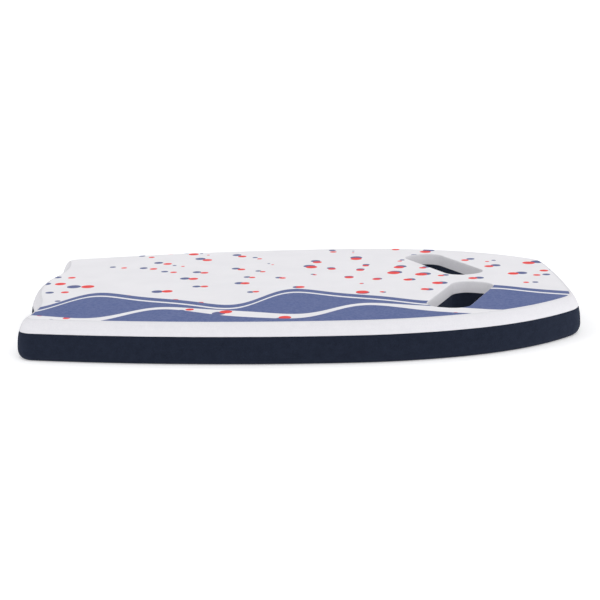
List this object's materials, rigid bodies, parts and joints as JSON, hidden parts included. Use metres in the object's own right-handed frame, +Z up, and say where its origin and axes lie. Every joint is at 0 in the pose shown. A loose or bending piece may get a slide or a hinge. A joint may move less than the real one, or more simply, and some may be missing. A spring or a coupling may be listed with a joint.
{
  "type": "swimming kickboard",
  "caption": "Flat foam swimming kickboard of a white printed deck on a navy core, with a scalloped tail, a rounded rim and slanted hand slots near the nose.",
  "frame": {"origin": "middle of the board's length and width, on the underside that it rests on", "axes": "+X to the nose, where the hand slots are; +Z up through the printed deck; +Y to the left side, seen from the tail"},
  "size_m": [0.4292, 0.2844, 0.03],
  "materials": {
    "navy_foam": "matte closed-cell EVA foam, navy",
    "adhesive": "thin set contact adhesive, satin",
    "white_foam": "matte closed-cell EVA foam, white",
    "print": "matte white film printed with red and slate blue dots and a band of slate blue waves"
  },
  "bodies": {
    "root": {"foam_core": "navy_foam", "bond_film": "adhesive", "foam_deck": "white_foam", "print_film": "print"}
  },
  "joints": []
}
